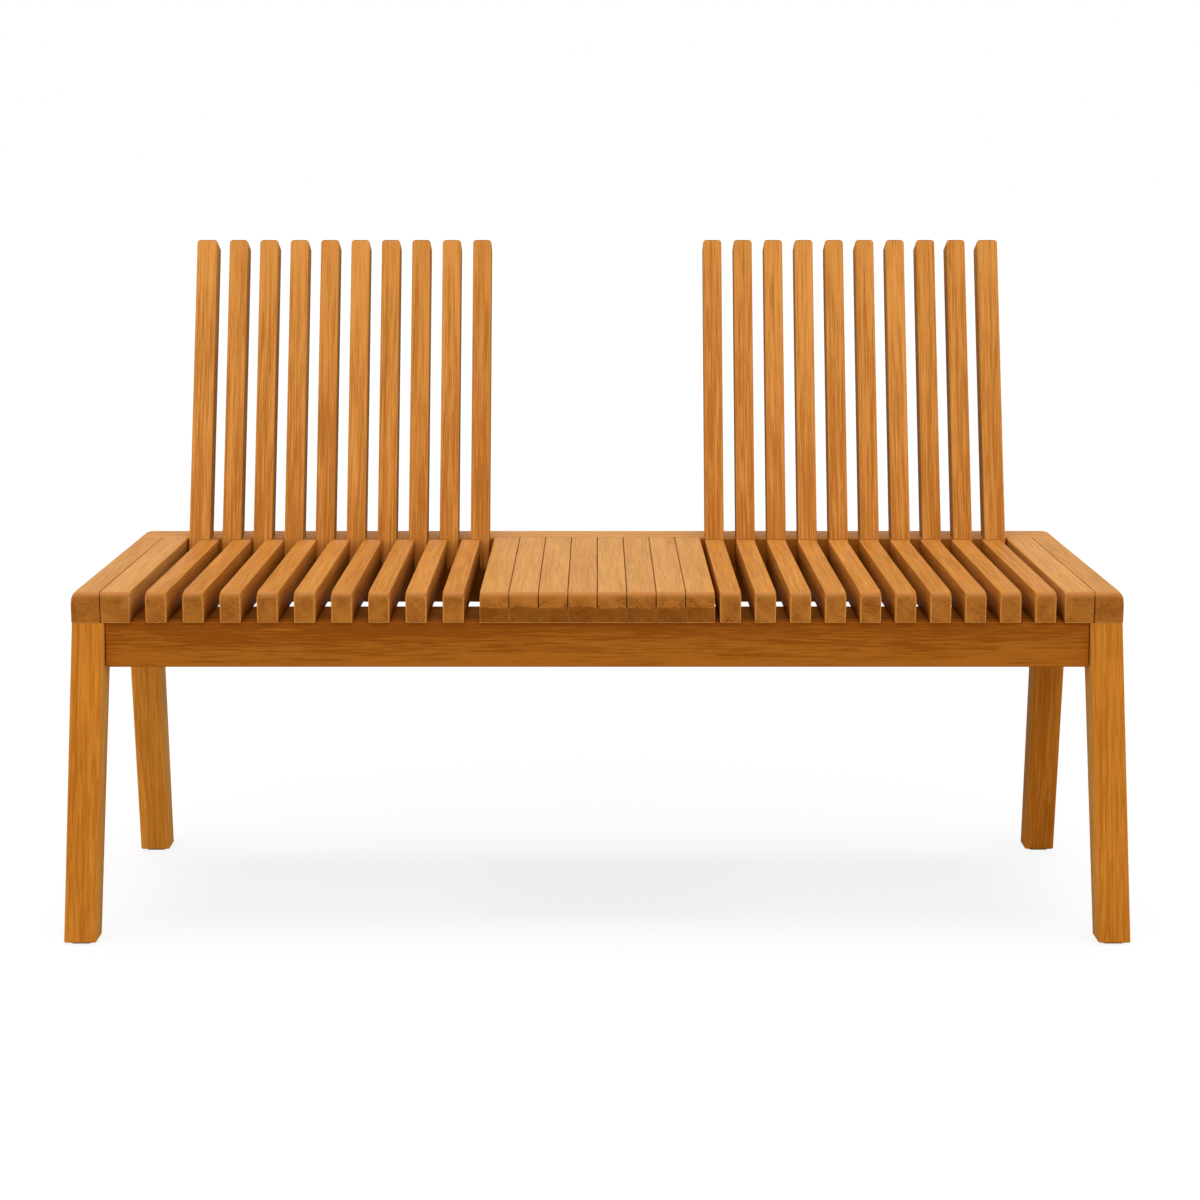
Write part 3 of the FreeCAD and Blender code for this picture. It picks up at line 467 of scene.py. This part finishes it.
def back_board(name, node, material):
    """A back slat: a rounded section carried up its lean, from the rear rail to the crown.

    At d below the crown its sides have drawn in by fall_of(crown round, d) and its front and
    back by fall_of(crown ease, d). The foot is cut level, where it stands on the rail.
    """
    low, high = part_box(node)
    centre, width = (low.x + high.x) / 2, high.x - low.x
    crown = np.array([centre, high.y - BACK_SLAT_DEPTH * math.cos(RECLINE), high.z])
    away = np.array([0.0, math.cos(RECLINE), -math.sin(RECLINE)])
    length = (high.z - SLAT_UNDERSIDE) / math.cos(RECLINE)
    downs = np.concatenate([[length, length - MM], np.array([0.8, 0.6, 0.4, 0.2]) * length,
                            round_stations(CROWN_ROUND)[::-1]])
    rings = []
    for down in downs:
        flat = rounded_section(width - 2 * fall_of(CROWN_ROUND, down),
                               BACK_SLAT_DEPTH - 2 * fall_of(CROWN_EASE, down), [SLAT_ROUND] * 4)
        depth = flat[:, 1] + BACK_SLAT_DEPTH / 2
        rings.append(crown - down * LEAN + flat[:, :1] * X + depth[:, None] * away)
    rings = np.array(rings)
    to_level = (rings[0, :, 2] - SLAT_UNDERSIDE) / math.cos(RECLINE)
    rings[0] -= to_level[:, None] * LEAN
    skin(name, rings, material, node)


def leg_middles(node):
    """The places of a leg's middle across the bench, at its foot and at its top."""
    low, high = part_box(node)
    return sorted((low.x + LEG_WIDTH / 2, high.x - LEG_WIDTH / 2), key=abs, reverse=True)


def leg_board(name, node, material, top_front, foot_front):
    """A leg: level sections from foot to top, whose middle, front and depth change evenly."""
    foot_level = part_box(node)[0].z
    rise = SLAT_UNDERSIDE - foot_level
    foot_middle, top_middle = leg_middles(node)
    rings = []
    for up in np.concatenate([round_stations(END_ROUND, 4), np.array([0.25, 0.5, 0.75]) * rise,
                              [rise - FLAT_RIM, rise]]):
        share, inset = up / rise, fall_of(END_ROUND, up)
        depth = LEG_FOOT_DEPTH + (LEG_TOP_DEPTH - LEG_FOOT_DEPTH) * share
        front = foot_front + (top_front - foot_front) * share
        middle = foot_middle + (top_middle - foot_middle) * share
        flat = rounded_section(LEG_WIDTH - 2 * inset, depth - 2 * inset, [LEG_ROUND] * 4)
        rings.append(np.column_stack([middle + flat[:, 0], front + depth / 2 + flat[:, 1],
                                      np.full(len(flat), foot_level + up)]))
    skin(name, np.array(rings), material, node)


def foot_pad(name, node, material, foot_front):
    """The pad under a leg: level sections from the floor to the foot, bevelled at the floor."""
    foot_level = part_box(node)[0].z
    rings = []
    for level, inset in zip((0.0, PAD_BEVEL, foot_level), PAD_INSETS):
        flat = rounded_section(LEG_WIDTH - 2 * inset, LEG_FOOT_DEPTH - 2 * inset, [LEG_ROUND] * 4)
        rings.append(np.column_stack([leg_middles(node)[0] + flat[:, 0],
                                      foot_front + LEG_FOOT_DEPTH / 2 + flat[:, 1],
                                      np.full(len(flat), level)]))
    skin(name, np.array(rings), material, "floor_glides")


def rail_board(node, material, half_length, radii, spread=0.0):
    """A rail that runs across: a rounded section in Y and Z carried along X to both ends.

    Below the top it grows longer at each end by the spread per metre of drop.
    """
    low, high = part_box(node)
    starts = round_stations(END_ROUND, 5) - half_length
    rings = []
    for run in (*starts, *(np.linspace(-0.8, 0.8, 7) * half_length), *-starts[::-1]):
        inset = fall_of(END_ROUND, half_length - abs(run))
        flat = rounded_section(high.y - low.y - 2 * inset, high.z - low.z - 2 * inset, radii)
        level = (low.z + high.z) / 2 + flat[:, 1]
        reach = run * (1 + spread * (high.z - level) / half_length)
        rings.append(np.column_stack([reach, (low.y + high.y) / 2 + flat[:, 0], level]))
    skin(f"{node}_board", np.array(rings), material, node)


def smoothed(node, material):
    """A copy of a node with its doubled points merged, and smooth across its gentle edges."""
    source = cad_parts[node]
    shape = bmesh.new()
    shape.from_mesh(source.data)
    shape.transform(source.matrix_world)
    bmesh.ops.remove_doubles(shape, verts=shape.verts, dist=0.01 * MM)
    for face in shape.faces:
        face.smooth = True
    for edge in shape.edges:
        edge.smooth = edge.calc_face_angle(math.pi) < math.radians(28)
    mesh = bpy.data.meshes.new(f"{node}_body")
    shape.to_mesh(mesh)
    shape.free()
    add_piece(mesh, material, node)


def middle_of(node):
    low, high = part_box(node)
    return np.array((low + high) / 2)


# Seat slats
for side, _ in SIDES:
    for number in range(1, SEAT_SLATS[side] + 1):
        node = f"{side}_seat_slat_{number:02d}"
        wood = teak(f"teak_{node}", middle_of(node), X, Y, SEAT_TEAK, draws.uniform(0.96, 1.04),
                    draws.uniform(3.6, 5.2), 0.9, sheen=0.16, nose=1.0, shaded=2)
        nosed_board(f"{node}_board", node, wood,
                    [LOWER_ROUND] * 2 + [SLAT_ROUND] * 2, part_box(node)[1].y,
                    rear_lean=math.tan(RECLINE), side_round=NOSE_SIDE_ROUND)

# End slats: two to a side, the outer one with a large round along its outer top edge
for side, outward in SIDES:
    for place, free_side, tone, top_round in (("outer", outward, 0.95, OUTER_ROUND),
                                              ("inner", -outward, 1.04, SLAT_ROUND)):
        node = f"{side}_{place}_end_slat"
        wood = teak(f"teak_{node}", middle_of(node), X, Y, TABLE_TEAK, tone, 4.0, 0.7,
                    sheen=0.18, nose=1.0, ends=0.95, seams=-free_side,
                    shaded=free_side if place == "inner" else 0)
        radii = [LOWER_ROUND] * 2 + [JOINT_ROUND] * 2
        radii[2 if free_side > 0 else 3] = top_round
        nosed_board(f"{node}_board", node, wood, radii, CAP_LOW.y, WIDE_SLAT_WIDTH)

# Table slats, close together: the first and the last have a free side
for index in range(TABLE_SLATS):
    middle = middle_of("table_slats")
    middle[0] = (index - (TABLE_SLATS - 1) / 2) * WIDE_SLAT_PITCH
    joined, free_side = {0: (1, -1), TABLE_SLATS - 1: (-1, 1)}.get(index, (2, 0))
    wood = teak(f"teak_table_slat_{index + 1}", middle, X, Y, TABLE_TEAK,
                draws.uniform(0.97, 1.04), 4.2, 0.65, sheen=0.18, nose=1.0, ends=0.97,
                seams=joined, shaded=free_side, lower_band=0.52)
    radii = [JOINT_ROUND] * 4
    if free_side:
        radii[2 if free_side > 0 else 3] = SLAT_ROUND
    nosed_board(f"table_slat_{index + 1}_board", "table_slats", wood, radii,
                CAP_LOW.y, WIDE_SLAT_WIDTH, middle[0])

# Back slats
for side, _ in SIDES:
    for number in range(1, BACK_SLATS_PER_SEAT + 1):
        node = f"{side}_back_slat_{number:02d}"
        # the backs carry painted shade towards their feet and on their sides
        wood = teak(f"teak_{node}", middle_of(node), X, LEAN, BACK_TEAK,
                    draws.uniform(0.94, 1.04), draws.uniform(3.6, 5.2), 1.7, foot_shade=1.5,
                    flank=BACK_SIDE_SHADE)
        back_board(f"{node}_board", node, wood)

# Legs on their pads, the right rear one from a darker board
LEG_TONES = {"front_left_leg": 0.98, "front_right_leg": 0.94, "rear_left_leg": 1.18,
             "rear_right_leg": 0.79}
pad_plastic = plain("pad_plastic", (0.03, 0.028, 0.026), 0.5)
slat_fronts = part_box("left_seat_slat_01")[0].y
for node, tone in LEG_TONES.items():
    low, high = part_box(node)
    top_front, foot_front = slat_fronts + FRONT_LEG_SETBACK, low.y
    if node.startswith("rear"):
        top_front, foot_front = low.y, high.y - LEG_FOOT_DEPTH
    axis = np.array([0.0, top_front - foot_front + (LEG_TOP_DEPTH - LEG_FOOT_DEPTH) / 2,
                     SLAT_UNDERSIDE - low.z])
    wood = teak(f"teak_{node}", middle_of(node), X, axis / np.linalg.norm(axis), LEG_TEAK, tone,
                5.0, 1.2, flank=LEG_SIDE_LIGHT)
    leg_board(f"{node}_post", node, wood, top_front, foot_front)
    foot_pad(f"{node}_glide", node, pad_plastic, foot_front)

# Front rail between the front legs, and the two rails that carry the boards from below
leg_low, leg_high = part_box("front_right_leg")
leg_spread = (leg_high.x - leg_low.x - LEG_WIDTH) / (SLAT_UNDERSIDE - leg_low.z)
# the front rail carries a painted shadow along its upper edge
wood = teak("teak_front_rail", middle_of("front_rail"), Z, X, RAIL_TEAK, 0.97, 5.5, 1.9, 0.03,
            fade=24.0, top_shadow=0.5)
rail_board("front_rail", wood, leg_low.x - RAIL_JOINT, [RAIL_ROUND] * 2 + [JOINT_ROUND] * 2,
           leg_spread)
# these two take the dark tone that is painted shade under the boards
for node, stop in (("front_bearer", "right_side_rail"), ("table_batten", "right_cross_rail")):
    wood = teak(f"teak_{node}", middle_of(node), Y, X, SHADED_UNDER_TEAK)
    rail_board(node, wood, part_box(stop)[0].x, [LOWER_ROUND] * 2 + [JOINT_ROUND] * 2)

# The other rails keep the form of their solids
# the rear rail and the cross rails take the dark tone of painted shade, and the rail behind the
# seats a painted highlight and shade along its front
for node, along, base, look in (
        ("rear_rail", X, SHADED_UNDER_TEAK, {}),
        ("rear_cap_rail", X, TABLE_TEAK, {"sheen": 0.16, "front": (CAP_LOW.y - CAP_HIGH.y) / 2}),
        ("left_side_rail", Y, RAIL_TEAK, {}), ("right_side_rail", Y, RAIL_TEAK, {}),
        ("left_cross_rail", Y, SHADED_UNDER_TEAK, {}), ("right_cross_rail", Y, SHADED_UNDER_TEAK, {})):
    wood = teak(f"teak_{node}", middle_of(node), X if along is Y else Y, along, base,
                draws.uniform(0.96, 1.04), 4.0, **look)
    smoothed(node, wood)

# The bolts are their solids
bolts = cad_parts["leg_bolts"].data
bolts.materials.clear()
bolts.materials.append(plain("steel", (0.62, 0.61, 0.59), 0.25, 1.0))

# Floor. For the camera alone white covers most of its shading, and least under the seats
WHITE_SHARE, UNDER_SEATS = 0.675, 0.071
stage = Finish(bpy.data.materials.new("floor"))
lit = stage.node("BsdfDiffuse", {}, {"Color": (0.5, 0.5, 0.5, 1)})
white = stage.node("Emission", {}, {"Color": (1, 1, 1, 1), "Strength": 1.28})
seen = stage.node("LightPath", output="Is Camera Ray")
spot = stage.node("TexCoord", output="Object")
ahead, aside = stage.along(spot, -Y), abs(stage.along(spot, X))
under = (stage.step(ahead, -0.13, 0.02) * (1 - stage.step(ahead, 0.20, 0.35))
         * (1 - stage.step(aside, 0.48, 0.68)))
share = seen * (WHITE_SHARE - UNDER_SEATS * under)
shown = stage.node("MixShader", {}, {0: share, 1: lit, 2: white})
stage.node("OutputMaterial", {}, {"Surface": shown})
floor_mesh = bpy.data.meshes.new("floor")
floor_mesh.from_pydata([(-30, -12, 0), (30, -12, 0), (30, 60, 0), (-30, 60, 0)], [], [[0, 1, 2, 3]])
floor_mesh.materials.append(stage.owner)
floor = bpy.data.objects.new("floor", floor_mesh)
bpy.context.scene.collection.objects.link(floor)

# White surroundings: full strength where they are seen or mirrored, less as a light, and
# brightest towards the front
world = bpy.data.worlds.new("studio")
bpy.context.scene.world = world
sky = Finish(world)
seen = sky.node("LightPath", output="Is Camera Ray")
mirrored = sky.node("LightPath", output="Is Glossy Ray")
ahead = sky.along(sky.node("TexCoord"), -Y).or_more(0.0)
strength = seen.or_more(mirrored * 0.9).or_more(0.5 + 1.05 * ahead)
back = sky.node("Background", {}, {"Color": (1, 1, 1, 1), "Strength": strength})
sky.node("OutputWorld", {}, {"Surface": back})

# One broad soft light overhead, a little behind the bench
light = bpy.data.lights.new("key", "SUN")
light.energy = 1.0
light.angle = math.radians(28)
key = bpy.data.objects.new("key", light)
key.rotation_euler = Vector((0.0, -1.0, -4.0)).to_track_quat("-Z", "Y").to_euler()
bpy.context.scene.collection.objects.link(key)

# Camera at the photograph's viewing angle
camera_data = bpy.data.cameras.new("camera")
camera_data.sensor_width = 36
camera_data.lens = 78.992
camera_data.shift_x = 0.00229
camera_data.shift_y = 0.06412
camera = bpy.data.objects.new("camera", camera_data)
camera.location = (0, -3.6051, 0.9764)
camera.rotation_euler = (math.radians(90 - 11.03), 0, 0)
bpy.context.scene.collection.objects.link(camera)
bpy.context.scene.camera = camera
bpy.context.scene.view_settings.view_transform = "Standard"
